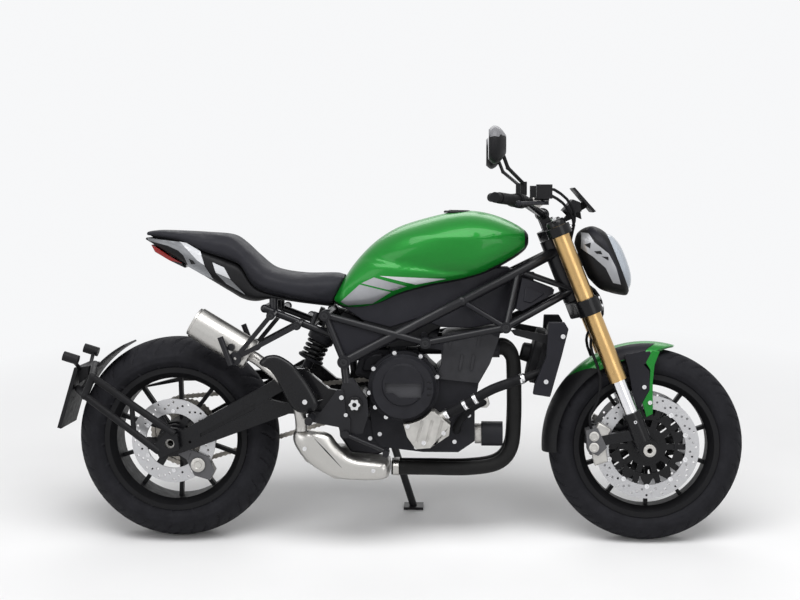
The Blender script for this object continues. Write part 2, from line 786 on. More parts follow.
# Tank: stations along it, rear to front, as the frame's solid has them
TANK_REAR, TANK_FRONT = -232, (STEER_ORIGIN + 690 * STEER_UP).x - 74
TANK_STATIONS = [
    (0.00, 738, 752, 770, 84, 2.4, 3), (0.04, 724, 768, 812, 108, 2.4, 3),
    (0.09, 719, 786, 858, 114, 2.4, 3), (0.16, 721, 806, 906, 120, 2.3, 3),
    (0.24, 734, 832, 946, 129, 2.3, 3), (0.34, 762, 862, 979, 140, 2.3, 3),
    (0.48, 787, 886, 1005, 150, 2.3, 3), (0.60, 801, 900, 1021, 153, 2.3, 3),
    (0.71, 816, 910, 1026, 150, 2.3, 3), (0.82, 843, 922, 1014, 138, 2.3, 3),
    (0.92, 876, 930, 990, 116, 2.3, 2.6), (0.98, 902, 935, 968, 92, 2.3, 2.4),
    (1.00, 920, 937, 954, 72, 2.2, 2.2),
]
TANK_CURVE = spline([(mix(TANK_REAR, TANK_FRONT, share), *rest) for share, *rest in TANK_STATIONS])
TANK_SIDES, TANK_EDGING, TANK_NOSE = 96, 13, 349
KNEE_LINE, KNEE_REACH = [(-120, 880), (110, 842)], (-190, -60, 110, 220)
KNEE_DEPTH, KNEE_ABOVE, KNEE_BELOW = 15, 46, 9
SHOULDER_LINE, SHOULDER_REACH = [(-40, 955), (310, 938)], (-60, 40, 250, 330)
SHOULDER_RISE, SHOULDER_SPREAD = 4, 22
SCULPT_FROM, SCULPT_FULL = 50, 100
TANK_PANELS = {
    "knee_panel": (
        [(-212, 748), (-152, 802), (-56, 779), (-114, 742), (-190, 736)], "silver panel", 0.9,
    ),
    "knee_stripe": ([(-147, 806), (-108, 824), (-8, 797), (-50, 783)], "silver panel", 0.9),
    "knee_flash": ([(-90, 829), (112, 820), (20, 802)], "pale panel", 0.9),
}
FILLER, FILLER_AXIS, FILLER_SIDES = Vector((150, 0, 1019)), Vector((0.02, 0, 1)), 64
FILLER_PROFILE = [(0, 48), (5, 48), (7, 45), (7, 34), (9, 32), (9, 12), (8, 10), (8, 0.5)]


def tank_sculpt(point):
    """Knee hollow and shoulder crease of the tank's side."""
    x, y, z = point
    over = z - lookup(x, KNEE_LINE)
    hollow = math.exp(-abs(over) / (KNEE_ABOVE if over > 0 else KNEE_BELOW))
    knee = hollow * between(x, *KNEE_REACH)
    crease = math.exp(-abs(z - lookup(x, SHOULDER_LINE)) / SHOULDER_SPREAD)
    shoulder = crease * between(x, *SHOULDER_REACH)
    outward = math.copysign(fade(abs(y), SCULPT_FROM, SCULPT_FULL), y)
    return Vector((x, y + outward * (SHOULDER_RISE * shoulder - KNEE_DEPTH * knee), z))


def tank_side(x, z):
    """Half width of the sculpted tank at a place seen from the side."""
    y = curve_side(TANK_CURVE, x, z)
    return abs(tank_sculpt((x, max(y, 1.0), z)).y)


class ROADSTER_OT_tank(bpy.types.Operator):
    """Fuel tank with its knee hollow, edging, knee panels and filler"""

    bl_idname = "roadster.tank"
    bl_label = "Fuel Tank"

    def execute(self, context):
        rings = [[tank_sculpt(p) for p in station_ring(s, TANK_SIDES)] for s in TANK_CURVE]
        low = [(s[0], s[1]) for s in TANK_CURVE]
        Shape().loft(rings).piece(
            "tank_shell", "chassis", ["flake paint", "moulded black"], "paint_green", ["fuel_tank"],
            SHELL_SHARP, look_of=lambda c: int(c.z < lookup(c.x, low) + TANK_EDGING or c.x > TANK_NOSE),
        )
        lay_panels(TANK_PANELS, tank_side, "chassis", "plastic_grey")
        lid = Shape().lathe(FILLER_PROFILE, FILLER, FILLER_AXIS, FILLER_SIDES)
        lid.piece("filler_lid", "chassis", "moulded black", "plastic_black")
        return {"FINISHED"}


# Seat: lower edge, and heights and half widths over it, rear to front
SEAT_BASE = [
    (-826, 943), (-786, 943), (-710, 932), (-640, 905), (-560, 878), (-520, 858), (-480, 798), (-425, 772),
    (-330, 752), (-238, 736),
]
SEAT_TOPS = [958, 962, 960, 957, 950, 924, 888, 846, 830, 836]
SEAT_WIDTHS = [50, 70, 90, 104, 112, 116, 122, 130, 132, 92]
SEAT_CURVE = spline([
    (x, z, mix(z, top, 0.45), top, half, 2.6, 6)
    for (x, z), top, half in zip(SEAT_BASE, SEAT_TOPS, SEAT_WIDTHS)
])
SEAT_SIDES, SEAT_SHRINK = 72, 3.0
NOSE_LEAN, NOSE_FROM, NOSE_LOW, NOSE_RISE = 38, -330, 765, 72
SWELL_VOXEL, SWELL_PRESSURE, SWELL_QUALITY, SWELL_FRAMES = 6 * MM, 4.0, 5, 20


def nosed(place):
    """Leans the seat's front end forward along the back of the tank."""
    share = fade(place.x, NOSE_FROM, SEAT_BASE[-1][0]) * clamp((place.z - NOSE_LOW) / NOSE_RISE)
    return place + Vector((NOSE_LEAN * share, 0, 0))


def drawn_in(ring):
    """Ring of the foam under a cover's ring."""
    middle = sum(ring, Vector()) / len(ring)
    ways = [middle - p for p in ring]
    return [p + way.normalized() * min(SEAT_SHRINK, way.length / 3) for p, way in zip(ring, ways)]


class ROADSTER_OT_seat(bpy.types.Operator):
    """Padded seat whose cover is drawn tight over the foam"""

    bl_idname = "roadster.seat"
    bl_label = "Seat"

    def execute(self, context):
        rings = [drawn_in([nosed(p) for p in station_ring(s, SEAT_SIDES)]) for s in SEAT_CURVE]
        foam = Shape().loft(rings)
        seat = foam.piece("seat_pad", "chassis", "seat cover", "seat_cover", ["seat"], SOFT_SHARP)
        swell(seat, context.scene.roadster_sizes.swell)
        return {"FINISHED"}


def swell(obj, cap):
    """Puffs a pad up with a short cloth run and caps how far any point moves."""
    scene = bpy.context.scene
    trial = bpy.data.objects.new("swell_trial", obj.data.copy())
    scene.collection.objects.link(trial)
    remesh = trial.modifiers.new("voxels", "REMESH")
    remesh.mode = "VOXEL"
    remesh.voxel_size = SWELL_VOXEL
    baked = evaluated_mesh(trial)
    trial.modifiers.clear()
    trial.data = baked
    rest = [v.co.copy() for v in baked.vertices]
    cloth = trial.modifiers.new("pressure", "CLOTH")
    cloth.settings.use_pressure = True
    cloth.settings.uniform_pressure_force = SWELL_PRESSURE
    cloth.settings.effector_weights.gravity = 0.0
    cloth.settings.quality = SWELL_QUALITY
    for step in range(1, SWELL_FRAMES + 1):
        scene.frame_set(step)
    puffed = evaluated_mesh(trial)
    scene.frame_set(1)
    for vert, start in zip(puffed.vertices, rest):
        moved = vert.co - start
        vert.co = start + moved * min(1.0, cap / max(moved.length, 1e-9))
    for face in puffed.polygons:
        face.use_smooth = True
    puffed.materials.clear()
    puffed.materials.append(finish("seat cover"))
    obj.data = puffed
    smoothing = obj.modifiers.new("smoothing", "SUBSURF")
    smoothing.levels = 1
    smoothing.render_levels = 1
    bpy.data.objects.remove(trial)


# Tail: heights of the cowl's lower edge and its half widths, at the seat's stations
COWL_LOW = [
    (-826, 934), (-786, 910), (-710, 863), (-640, 820), (-560, 772), (-520, 750), (-480, 744), (-425, 752),
    (-330, 741), (-238, 730),
]
COWL_WIDTHS = [34, 58, 78, 92, 98, 100, 102, 104, 104, 84]
COWL_GAP, COWL_SIDES, PANEL_FLAT = 0.6, 64, 0.93
COWL_CURVE = spline([
    (x, low, mix(low, top - COWL_GAP, 0.6), top - COWL_GAP, half, 4, 2.6)
    for (x, low), (_, top), half in zip(COWL_LOW, SEAT_BASE, COWL_WIDTHS)
])
TAIL_PANELS = {
    "tail_strip": (
        [(-820, 942), (-712, 930), (-682, 908), (-632, 856), (-606, 815), (-640, 829), (-684, 853),
         (-700, 888), (-716, 903), (-750, 918), (-818, 934)], "grey panel", 2.0,
    ),
    "tail_flash": (
        [(-712, 931), (-690, 927), (-646, 902), (-632, 858), (-656, 874), (-688, 908)], "pale panel", 3.0,
    ),
    "tail_slot": ([(-682, 878), (-668, 872), (-662, 862), (-676, 862)], "gloss black", 3.0),
    "tail_blade": ([(-607, 868), (-571, 852), (-552, 817), (-597, 836)], "pale panel", 2.0),
    "tail_point": ([(-597, 835), (-552, 815), (-506, 768), (-566, 802)], "grey panel", 1.6),
}


def tail_side(x, z):
    """Half width under a tail panel, which is flatter than the shell near its edges."""
    return max(curve_side(COWL_CURVE, x, z), PANEL_FLAT * station_at(COWL_CURVE, x)[4])


class ROADSTER_OT_tail(bpy.types.Operator):
    """Tail cowl with its side panels"""

    bl_idname = "roadster.tail"
    bl_label = "Tail"

    def execute(self, context):
        shell = Shape().loft([station_ring(s, COWL_SIDES) for s in COWL_CURVE])
        shell.piece("tail_shell", "chassis", "moulded black", "plastic_grey", ["tail_cowl"], SHELL_SHARP)
        lay_panels(TAIL_PANELS, tail_side, "chassis", "plastic_grey")
        return {"FINISHED"}


# Headlamp: stations along it and panels on its sides, in the steering's own directions
LAMP_STATIONS = [
    (66, 545, 612, 664, 58, 2.6, 2.6), (84, 504, 602, 687, 80, 2.6, 2.6),
    (110, 480, 592, 695, 88, 2.6, 2.6), (136, 462, 586, 691, 90, 2.6, 2.6),
    (154, 454, 580, 676, 88, 2.6, 2.6), (165, 462, 576, 660, 83, 2.6, 2.6),
]
LENS_STATIONS = [
    (165.3, 466, 576, 656, 80, 2.6, 2.6), (180, 482, 576, 642, 72, 2.5, 2.5),
    (190, 508, 576, 618, 54, 2.4, 2.4), (194, 540, 576, 594, 26, 2.2, 2.2),
]
LAMP_CURVE, LENS_CURVE = spline(LAMP_STATIONS), spline(LENS_STATIONS)
LAMP_SIDES, LAMP_STEP = 64, 5
LAMP_PANELS = {
    "lamp_visor": (
        [(112, 692), (138, 689), (150, 650), (156, 590), (156, 520), (151, 500), (150, 560), (143, 610)],
        "moulded grey", 0.8,
    ),
    "lamp_trim": (
        [(94, 688), (113, 678), (119, 646), (146, 598), (151, 552), (146, 496), (126, 510), (121, 562),
         (98, 608), (74, 644)], "silver panel", 1.6,
    ),
    "lamp_slot_a": ([(88, 651), (108, 650), (99, 634)], "gloss black", 2.2),
    "lamp_slot_b": ([(107, 622), (126, 616), (127, 604), (112, 612)], "gloss black", 2.2),
    "lamp_slot_c": ([(122, 599), (141, 590), (137, 580)], "gloss black", 2.2),
}


class ROADSTER_OT_headlamp(bpy.types.Operator):
    """Headlamp shell, its silver trim and the domed lens"""

    bl_idname = "roadster.headlamp"
    bl_label = "Headlamp"

    def execute(self, context):
        for name, curve, look, slot, node in (
            ("lamp_shell", LAMP_CURVE, "moulded black", "lamp_shell", "headlight_shell"),
            ("lamp_glass", LENS_CURVE, "clear lens", "lamp_lens", "headlight_lens"),
        ):
            rings = [[steered(*p) for p in station_ring(s, LAMP_SIDES)] for s in curve]
            Shape().loft(rings).piece(name, "steering", look, slot, [node], SHELL_SHARP)
        lay_panels(
            LAMP_PANELS, lambda x, z: curve_side(LAMP_CURVE, x, z), "steering", "lamp_shell", LAMP_STEP,
            steered,
        )
        return {"FINISHED"}


TREAD_STEPS, TREAD_EDGE, WALL_LIP, BEAD_GAP = 660, 0.97, 4, 0.3


def tyre_profile(radius, width, crown, rim_width):
    """Half section of a tyre's outside from crown to bead: (radius, sideways)."""
    edge, lip, seat = width / 2, rim_width / 2 + WALL_LIP, rim_width / 2 - BEAD_GAP
    middle, foot = radius - crown, BEAD_R + 9
    shoulder = middle + math.sqrt(crown * crown - width * width / 4)
    turns = [math.asin(edge / crown) * i / 16 for i in range(17)]
    tread = [(middle + crown * math.cos(t), crown * math.sin(t)) for t in turns]
    wall = spline([
        (shoulder, edge), (mix(foot, shoulder, 0.75), edge - 0.4), (mix(foot, shoulder, 0.5), edge - 1.5),
        (mix(foot, shoulder, 0.2), mix(lip, edge, 0.45)), (foot, lip),
    ], 4)[1:]
    return tread + wall + [(foot, seat), (BEAD_R, seat)]


def cut_at(line, pitch, floor, lip):
    """Depth share of a cut at every whole number of line: full to floor, none past lip, in millimetres."""
    return 1 - fade(abs(line - round(line)) * pitch, floor, lip)


def groove(turn, side, pitches):
    """Depth share of the tread pattern at a turn (radians) and a place across (-1 to 1)."""
    across = abs(side)
    line = turn * pitches / (2 * math.pi) - 0.9 * across - (0.5 if side > 0 else 0)
    pitch = 2 * math.pi * FRONT_R / pitches
    long_cut = cut_at(line, pitch, 2.6, 4.6) * between(across, 0.16, 0.24, 0.74, 0.82)
    short_cut = cut_at(line + 0.5, pitch, 2.2, 4.0) * between(across, 0.44, 0.5, 0.88, 0.94)
    return max(long_cut, short_cut)


def tyre(name, centre, radius, width, crown, rim_width, body, node):
    """Road tyre with cut grooves."""
    sizes = bpy.context.scene.roadster_sizes
    half = tyre_profile(radius, width, crown, rim_width)
    section = [(r, -s) for r, s in reversed(half)] + half[1:]
    rings = []
    for turn in full_turn(TREAD_STEPS):
        ring = []
        for r, s in section:
            share = s / (width / 2)
            cut = r > radius - crown + 1 and abs(share) < TREAD_EDGE
            depth = sizes.groove / MM * groove(turn, share, sizes.pitches) if cut else 0
            ring.append(polar(centre, r - depth, turn, s))
        rings.append(ring)
    return Shape().loft(rings, closed=True).piece(name, body, "tyre", "tyre", [node], TREAD_SHARP)


class ROADSTER_OT_tyres(bpy.types.Operator):
    """Both tyres with their road tread"""

    bl_idname = "roadster.tyres"
    bl_label = "Tyres"

    def execute(self, context):
        front = (FRONT_AXLE, FRONT_R, FRONT_W, FRONT_CROWN, FRONT_RIM_W)
        rear = (REAR_AXLE, REAR_R, REAR_W, REAR_CROWN, REAR_RIM_W)
        tyre("tread_front", *front, "front_wheel", "front_tyre")
        tyre("tread_rear", *rear, "rear_wheel", "rear_tyre")
        return {"FINISHED"}


HEADER_R, LINK_R, HOSE_R = 22, 18, 15
HEADER_Y, HEADER_Z = 52, 228
LEFT_BEND_Y, LEFT_UNDER_Y = 4, -2
HOSE_PATH = [
    (112, -160, 410), (150, -168, 430), (200, -172, 460), (250, -170, 488), (305, -160, 508),
    (350, -140, 521),
]
LINK_PATH = [
    (-326, -176, 360.4), (-326, -177, 378), (-327, -186, 404), (-336, -193, 446), (-370, -193, 506),
    (-420, -182, 548), (-458, -164, 574), (-486, -158, 590),
]


def header_path(y):
    """One exhaust pipe from its port down, in under the engine and back."""
    inner, under = (LEFT_BEND_Y, LEFT_UNDER_Y) if y > 0 else (-HEADER_Y, -HEADER_Y)
    return [
        (276.6, y, 604), (292, y, 602), (308, y, 588), (319, y, 560), (322, y, 490), (322, y, 380),
        (312, mix(y, -46, 0.2), 292), (270, mix(y, -46, 0.4), 244), (180, inner, HEADER_Z),
        (60, under, HEADER_Z), (-58, under, HEADER_Z),
    ]


class ROADSTER_OT_pipes(bpy.types.Operator):
    """Exhaust pipes and the coolant hose, drawn smooth"""

    bl_idname = "roadster.pipes"
    bl_label = "Pipes and Hose"

    def execute(self, context):
        headers = Shape()
        for y in (-HEADER_Y, HEADER_Y):
            headers.tube(spline(header_path(y)), HEADER_R)
        headers.piece("header_pipes", "chassis", "header coat", "exhaust_black", ["exhaust_headers"])
        link = Shape().tube(spline(LINK_PATH), LINK_R)
        link.piece("link_pipe", "chassis", "brushed steel", "exhaust_silver", ["exhaust_link"])
        hose = Shape().tube(spline(HOSE_PATH), HOSE_R)
        hose.piece("hose", "chassis", "rubber", "rubber_black", ["coolant_hose"])
        return {"FINISHED"}


# Front mudguard: an arched section swept round the wheel, and plates on its sides as seen from the axle
MUD_R, MUD_HALF, MUD_WALL, MUD_ARCH = FRONT_R + 16, 70, 5, 38
MUD_FROM, MUD_TO = math.radians(74), math.radians(184)
MUD_STEPS, MUD_SIDES = 80, 20
FLANK_LIFT, FLANK_THICK = 1.004, 1.6
FLANK_ROWS, FLANK_SIDES = slice(6, 29), slice(13, 21)
MUD_PLATES = {
    "mudguard_panel": (
        [(-74, 284), (-8, 300), (-20, 262), (4, 236), (6, 180), (-16, 140), (-28, 104), (-48, 172),
         (-62, 246)], MUD_HALF + 4, MUD_HALF + 10, "moulded grey", "plastic_black",
    ),
    "mudguard_edge": (
        [(34, 296), (12, 300), (-8, 262), (6, 240), (4, 176), (-17, 138), (-5, 94), (15, 104), (14, 200),
         (19, 256)], MUD_HALF + 3.5, MUD_HALF + 10.5, "flake paint", "paint_green",
    ),
    "mudguard_link": (
        [(-66, 288), (6, 296), (12, 262), (-40, 250)],
        MUD_HALF - 4, MUD_HALF + 9.5, "moulded grey", "plastic_black",
    ),
    "mudguard_stay": (
        [(-64, 92), (-14, 100), (-14, 126), (-70, 122)],
        MUD_HALF + 4, FORK_HALF - 28.8, "moulded black", "plastic_black",
    ),
}


def mud_section():
    """Closed section of the arch: (radius, sideways)."""
    turns = [math.pi * (i / MUD_SIDES - 0.5) for i in range(MUD_SIDES + 1)]
    base = MUD_R - MUD_ARCH
    outer = [(base + (MUD_ARCH + MUD_WALL) * math.cos(t), MUD_HALF * math.sin(t)) for t in turns]
    inner = [
        (base + MUD_ARCH * math.cos(t), (MUD_HALF - MUD_WALL) * math.sin(t)) for t in reversed(turns)
    ]
    return outer + inner


def mud_turn(side, share):
    """Angle round the wheel at a share of the guard's length; half way lies the green paint's border."""
    lean = (side / MUD_HALF) ** 2
    start, border = MUD_FROM + 0.24 * lean, math.radians(139 - 17 * lean)
    return mix(start, border, 2 * share) if share < 0.5 else mix(border, MUD_TO, 2 * share - 1)


class ROADSTER_OT_mudguard(bpy.types.Operator):
    """Front mudguard with its dark side panels and green leading edges"""

    bl_idname = "roadster.mudguard"
    bl_label = "Front Mudguard"

    def execute(self, context):
        rings = [
            [polar(FRONT_AXLE, r, mud_turn(side, i / MUD_STEPS), side) for r, side in mud_section()]
            for i in range(MUD_STEPS + 1)
        ]
        half = MUD_STEPS // 2
        Shape().loft(rings[:half + 1]).piece(
            "mudguard_front", "steering", "flake paint", "paint_green", ["front_mudguard"], MUD_SHARP
        )
        Shape().loft(rings[half:]).piece(
            "mudguard_rear", "steering", "moulded black", "plastic_black", sharp=MUD_SHARP
        )
        skin = Shape()
        rows = [
            [skin.bm.verts.new(FRONT_AXLE + (p - FRONT_AXLE) * FLANK_LIFT) for p in ring[FLANK_SIDES]]
            for ring in rings[FLANK_ROWS]
        ]
        for a, b in zip(rows, rows[1:]):
            for j in range(len(a) - 1):
                skin.bm.faces.new((a[j], a[j + 1], b[j + 1], b[j]))
        bmesh.ops.solidify(skin.bm, geom=skin.bm.faces[:], thickness=FLANK_THICK)
        skin.mirrored().piece(
            "mudguard_flanks", "steering", "moulded grey", "plastic_black", sharp=MUD_SHARP
        )
        for name, (outline, start, end, look, slot) in MUD_PLATES.items():
            plate = Shape().slab(outline, start, end, lambda x, y, z: FRONT_AXLE + Vector((x, y, z)))
            plate.mirrored().piece(name, "steering", look, slot, bevel=1.2)
        return {"FINISHED"}


# Rounded copies by the width of their edges' rounding
ROUNDED = {
    1.2: [
        "rider_footrests", "passenger_brackets", "foot_levers", "fork_feet", "controls", "levers",
        "left_engine_covers", "front_rim", "rear_rim", "rear_sprocket", "side_stand", "front_axle",
        "rear_axle", "swingarm", "subframe",
    ],
    2.5: ["radiator_shrouds", "yokes", "crankcase", "airbox"],
    5.0: ["water_pump"],
    0: ["brake_hoses", "handlebar", "grips", "fork_tubes", "fork_sliders"],
}
SILENCER_MOUTH, SILENCER_AXIS = Vector((-482, -158, 588)), Vector((-166, 0, 100)).normalized()
SILENCER_CORE = 36


def off_line(place, start, axis):
    """Distance of a place from a line through start."""
    way = place - start
    return (way - way.dot(axis) * axis).length


def mirror_look(place, normal):
    if normal.x < -0.93 and place.x < 240:
        return 1
    return 2 if place.z > 1240 else 0


class ROADSTER_OT_castings(bpy.types.Operator):
    """Rounded copies of the frame's solids, with a second look where the real piece has one"""

    bl_idname = "roadster.castings"
    bl_label = "Castings and Tubes"

    def execute(self, context):
        for bevel, nodes in ROUNDED.items():
            for node in nodes:
                recast(node, [LOOK_OF[node]], bevel=bevel)
        self.two_looks()
        return {"FINISHED"}

    def two_looks(self):
        """Nodes whose faces are picked for a look by their place and the way they face."""
        rows = [
            ("front_discs", "disc steel", "gloss black",
             lambda p, n: off_line(p, FRONT_AXLE, LEFT) < 117, 0.4),
            ("rear_disc", "disc steel", "gloss black",
             lambda p, n: off_line(p, REAR_AXLE, LEFT) < 84, 0.4),
            ("frame", "frame coat", "moulded grey",
             lambda p, n: 137 < abs(p.y) < 144 and abs(n.y) > 0.9, 0),
            ("plate_carrier", "moulded black", "smoked screen",
             lambda p, n: n.x < -0.9 and abs(p.y) > 112, 0.8),
            ("clutch_cover", "dark cast", "cover window",
             lambda p, n: -172 < p.y < -168 and abs(n.y) > 0.9, 1.5),
            ("cylinder_head", "grey cast", "dark cast", lambda p, n: p.x < 100 or p.x > 264, 2.5),
            ("oil_filter", "dark cast", "bright cast", lambda p, n: p.x < 221, 1.5),
            ("swingarm_pivot", "gloss black", None, None, 1.0),
            ("radiator", "moulded black", "dark cast", lambda p, n: n.x > 0.5 and abs(p.y) < 120, 0.6),
            ("instrument", "moulded black", "dial",
             lambda p, n: n.x < -0.5 and abs(p.y) > 24 and p.z < 1030, 1.2),
            ("front_calipers", "gloss black", "caliper", lambda p, n: p.x < 600, 1.5),
            ("rear_caliper", "caliper", "bright cast", lambda p, n: p.y > -112, 1.5),
        ]
        for node, look, second, pick, bevel in rows:
            recast(node, [look, second] if second else [look], pick, bevel)
        recast("mirrors", ["moulded black", "mirror glass", "mirror cap"], mirror_look, 0, 62)
        recast(
            "silencer", ["brushed steel", "gloss black"],
            lambda p, n: off_line(p, SILENCER_MOUTH, SILENCER_AXIS) < SILENCER_CORE, 2.0,
        )
        recast("tail_lamp", ["red lens", "smoked screen"], lambda p, n: p.x > -735, 1.5)


# Pressed sheets of the exhaust: rims in X and Z, and the lines that they dome up to
GUARD_OUTLINE = [
    (-455, 566), (-432, 592), (-392, 596), (-344, 566), (-298, 506), (-266, 444), (-284, 420), (-334, 418),
    (-360, 448), (-410, 548),
]
GUARD_SPINE = [(-415, 568), (-366, 530), (-308, 450)]
GUARD_RIM, GUARD_CROWN, GUARD_THICK = -209, -220, Vector((0, 3, 0))
POSTS, POST_PROFILE = ((-336, 446), (-370, 506)), [(-217, 6), (-211, 6)]
CHAMBER_FLOOR = [(-60, 262), (-62, 212), (-108, 204), (-230, 208), (-318, 262)]
CHAMBER_BACK = [(-180, 276), (-100, 268)]
CHAMBER_OUTLINE = CHAMBER_FLOOR + [
    (-356, 322), (-352, 360), (-296, 360), (-240, 350), (-222, 322),
] + CHAMBER_BACK
CHAMBER_BODY = CHAMBER_FLOOR + [(-342, 300), (-202, 300)] + CHAMBER_BACK
CHAMBER_RIM, CHAMBER_CROWN, CHAMBER_OUT, CHAMBER_IN = -148, -176, -150, -26
CHAMBER_SPINE = [(-88, 236), (-150, 236), (-222, 254), (-290, 320)]
SEAM_PATH, SEAM_R = [(-286, -175.4, 336), (-250, -175.8, 298), (-204, -175.8, 248)], [0.6, 2.2, 0.6]
CORNER_CUT, CORNER_PASSES = 0.22, 2


def softened(outline):
    """Outline with its corners cut round."""
    for _ in range(CORNER_PASSES):
        cut = []
        for (ax, az), (bx, bz) in zip(outline, outline[1:] + outline[:1]):
            cut += [(mix(ax, bx, share), mix(az, bz, share)) for share in (CORNER_CUT, 1 - CORNER_CUT)]
        outline = cut
    return outline


def nearest_on(spine, x, z):
    """Point of an open line that lies nearest to x and z."""
    p = Vector((x, z))
    best = None
    for a, b in zip(spine, spine[1:]):
        a, way = Vector(a), Vector(b) - Vector(a)
        point = a + clamp((p - a).dot(way) / way.length_squared) * way
        if best is None or (p - point).length < (p - best).length:
            best = point
    return best


def domed(outline, spine, rim, crown, depth=0.6, steps=7):
    """Rings from the rim of a pressed sheet in to its flat crown."""
    edge = [(Vector(p), nearest_on(spine, *p)) for p in softened(outline)]
    rings = []
    for i in range(steps + 1):
        share = i / steps
        y = mix(rim, crown, math.sqrt(1 - (1 - share) ** 2))
        ring = [mix(p, middle, depth * share) for p, middle in edge]
        rings.append([Vector((p.x, y, p.y)) for p in ring])
    return rings


class ROADSTER_OT_shields(bpy.types.Operator):
    """Pressed heat shield of the link pipe and the collector chamber's domed shell"""

    bl_idname = "roadster.shields"
    bl_label = "Exhaust Shields"

    def execute(self, context):
        outer = domed(GUARD_OUTLINE, GUARD_SPINE, GUARD_RIM, GUARD_CROWN)
        inner = [[p + GUARD_THICK for p in ring] for ring in outer]
        guard = Shape().loft(outer[::-1] + inner)
        for x, z in POSTS:
            guard.lathe(POST_PROFILE, (x, 0, z), LEFT, 20)
        node = "exhaust_guard"
        guard.piece("guard_shell", "chassis", "gloss black", SLOT_OF[node], [node], SHELL_SHARP)
        node = "exhaust_chamber"
        slot = SLOT_OF[node]
        dome = domed(CHAMBER_OUTLINE, CHAMBER_SPINE, CHAMBER_RIM, CHAMBER_CROWN, depth=0.7, steps=9)
        shell = Shape().loft(dome)
        shell.piece("chamber_shell", "chassis", "brushed steel", slot, [node], SHELL_SHARP)
        body = Shape().slab(CHAMBER_BODY, CHAMBER_OUT, CHAMBER_IN)
        body.piece("chamber_body", "chassis", "brushed steel", slot, bevel=9)
        Shape().tube(SEAM_PATH, SEAM_R, 12).piece("chamber_seam", "chassis", "grey cast", slot)
        return {"FINISHED"}


DAMPER_LOW, DAMPER_HIGH = Vector((-334, 0, 524)), Vector((-262, 0, 668))
COIL_TURNS, COIL_STEPS, COIL_R, COIL_WIRE = 4, 30, 31, 6
COIL_FROM, COIL_SHORTER = 46, 100
# Profiles of its body from either end, and of an eye and its pin
DAMPER_LOWER = [(12, 15), (38, 15), (40, 40), (42, 42), (46, 42), (48, 40), (50, 17)]
DAMPER_UPPER = [(57, 17), (56, 40), (53, 42), (34, 42), (30, 38), (28, 15), (12, 15)]
DAMPER_EYE, DAMPER_PIN = [(-20, 14), (20, 14)], [(-36, 6), (36, 6)]


class ROADSTER_OT_damper(bpy.types.Operator):
    """Rear damper with a smooth coil, seats and eyes"""

    bl_idname = "roadster.damper"
    bl_label = "Rear Damper"

    def execute(self, context):
        span = DAMPER_HIGH - DAMPER_LOW
        length, axis = span.length, span.normalized()
        other = axis.cross(LEFT)
        count = COIL_TURNS * COIL_STEPS
        coil = []
        for i in range(count + 1):
            turn = 2 * math.pi * i / COIL_STEPS
            rise = COIL_FROM + (length - COIL_SHORTER) * i / count
            out = math.cos(turn) * LEFT + math.sin(turn) * other
            coil.append(DAMPER_LOW + rise * axis + COIL_R * out)
        Shape().tube(coil, COIL_WIRE, 14).piece(
            "damper_coil", "chassis", "gloss black", "spring_black", ["shock_absorber"]
        )
        profile = DAMPER_LOWER + [(length - down, radius) for down, radius in DAMPER_UPPER]
        body = Shape().lathe(profile, DAMPER_LOW, axis, 48)
        body.piece("damper_body", "chassis", "dark cast", "spring_black")
        eyes = Shape()
        for end in (DAMPER_LOW, DAMPER_HIGH):
            eyes.lathe(DAMPER_EYE, end, LEFT)
            eyes.lathe(DAMPER_PIN, end, LEFT, 20)
        eyes.piece("damper_eyes", "chassis", "bright cast", "spring_black", bevel=1)
        return {"FINISHED"}


CLIP_PLACES = (0.05, 0.30, 0.42, 0.95)
CLIP_PROFILE = [(-5.5, HOSE_R), (-5.5, HOSE_R + 1.4), (5.5, HOSE_R + 1.4), (5.5, HOSE_R)]
CLIP_SCREW, CLIP_OUT, CLIP_UP = [(-6, 4.2), (6, 4.2)], 17.5, 4
BAND_X, BAND_HALF, BAND_R = -44, 9, 24
LOWER_HOSE = [
    (146, -96, 352), (146, -112, 366), (160, -122, 394), (190, -120, 424), (218, -104, 438),
    (232, -92, 440),
]
LOWER_HOSE_R, UNION_OUT, UNION_IN = 12, -104, -78
HOSE_UNION = [(198, 424), (238, 424), (246, 436), (240, 456), (204, 456)]


class ROADSTER_OT_clamps(bpy.types.Operator):
    """Hose clips, the exhaust's band and the short lower hose"""

    bl_idname = "roadster.clamps"
    bl_label = "Clamps and Hose"

    def execute(self, context):
        hose = [Vector(p) for p in spline(HOSE_PATH, 12)]
        clips = Shape()
        for share in CLIP_PLACES:
            i = int(share * (len(hose) - 2))
            along = (hose[i + 1] - hose[i]).normalized()
            clips.lathe(CLIP_PROFILE, hose[i], along, closed=True)
            up = along.cross(RIGHT).normalized()
            clips.lathe(CLIP_SCREW, hose[i] + RIGHT * CLIP_OUT + up * CLIP_UP, up, 12)
        clips.piece("hose_clips", "chassis", "bolt", "bright_alloy")
        ring = []
        for turn in full_turn(40):
            y = (LEFT_UNDER_Y if math.cos(turn) > 0 else -HEADER_Y) + BAND_R * math.cos(turn)
            ring.append(Vector((BAND_X, y, HEADER_Z + BAND_R * math.sin(turn))))
        ends = (-BAND_HALF, BAND_HALF)
        band = Shape().loft([[p + Vector((x, 0, 0)) for p in ring] for x in ends])
        band.piece("exhaust_band", "chassis", "brushed steel", "exhaust_silver", bevel=0.8)
        hose = Shape().tube(spline(LOWER_HOSE), LOWER_HOSE_R, 20)
        hose.piece("lower_hose", "chassis", "rubber", "rubber_black")
        union = Shape().slab(HOSE_UNION, UNION_OUT, UNION_IN)
        union.piece("hose_union", "chassis", "bright cast", "bright_alloy", bevel=3)
        return {"FINISHED"}


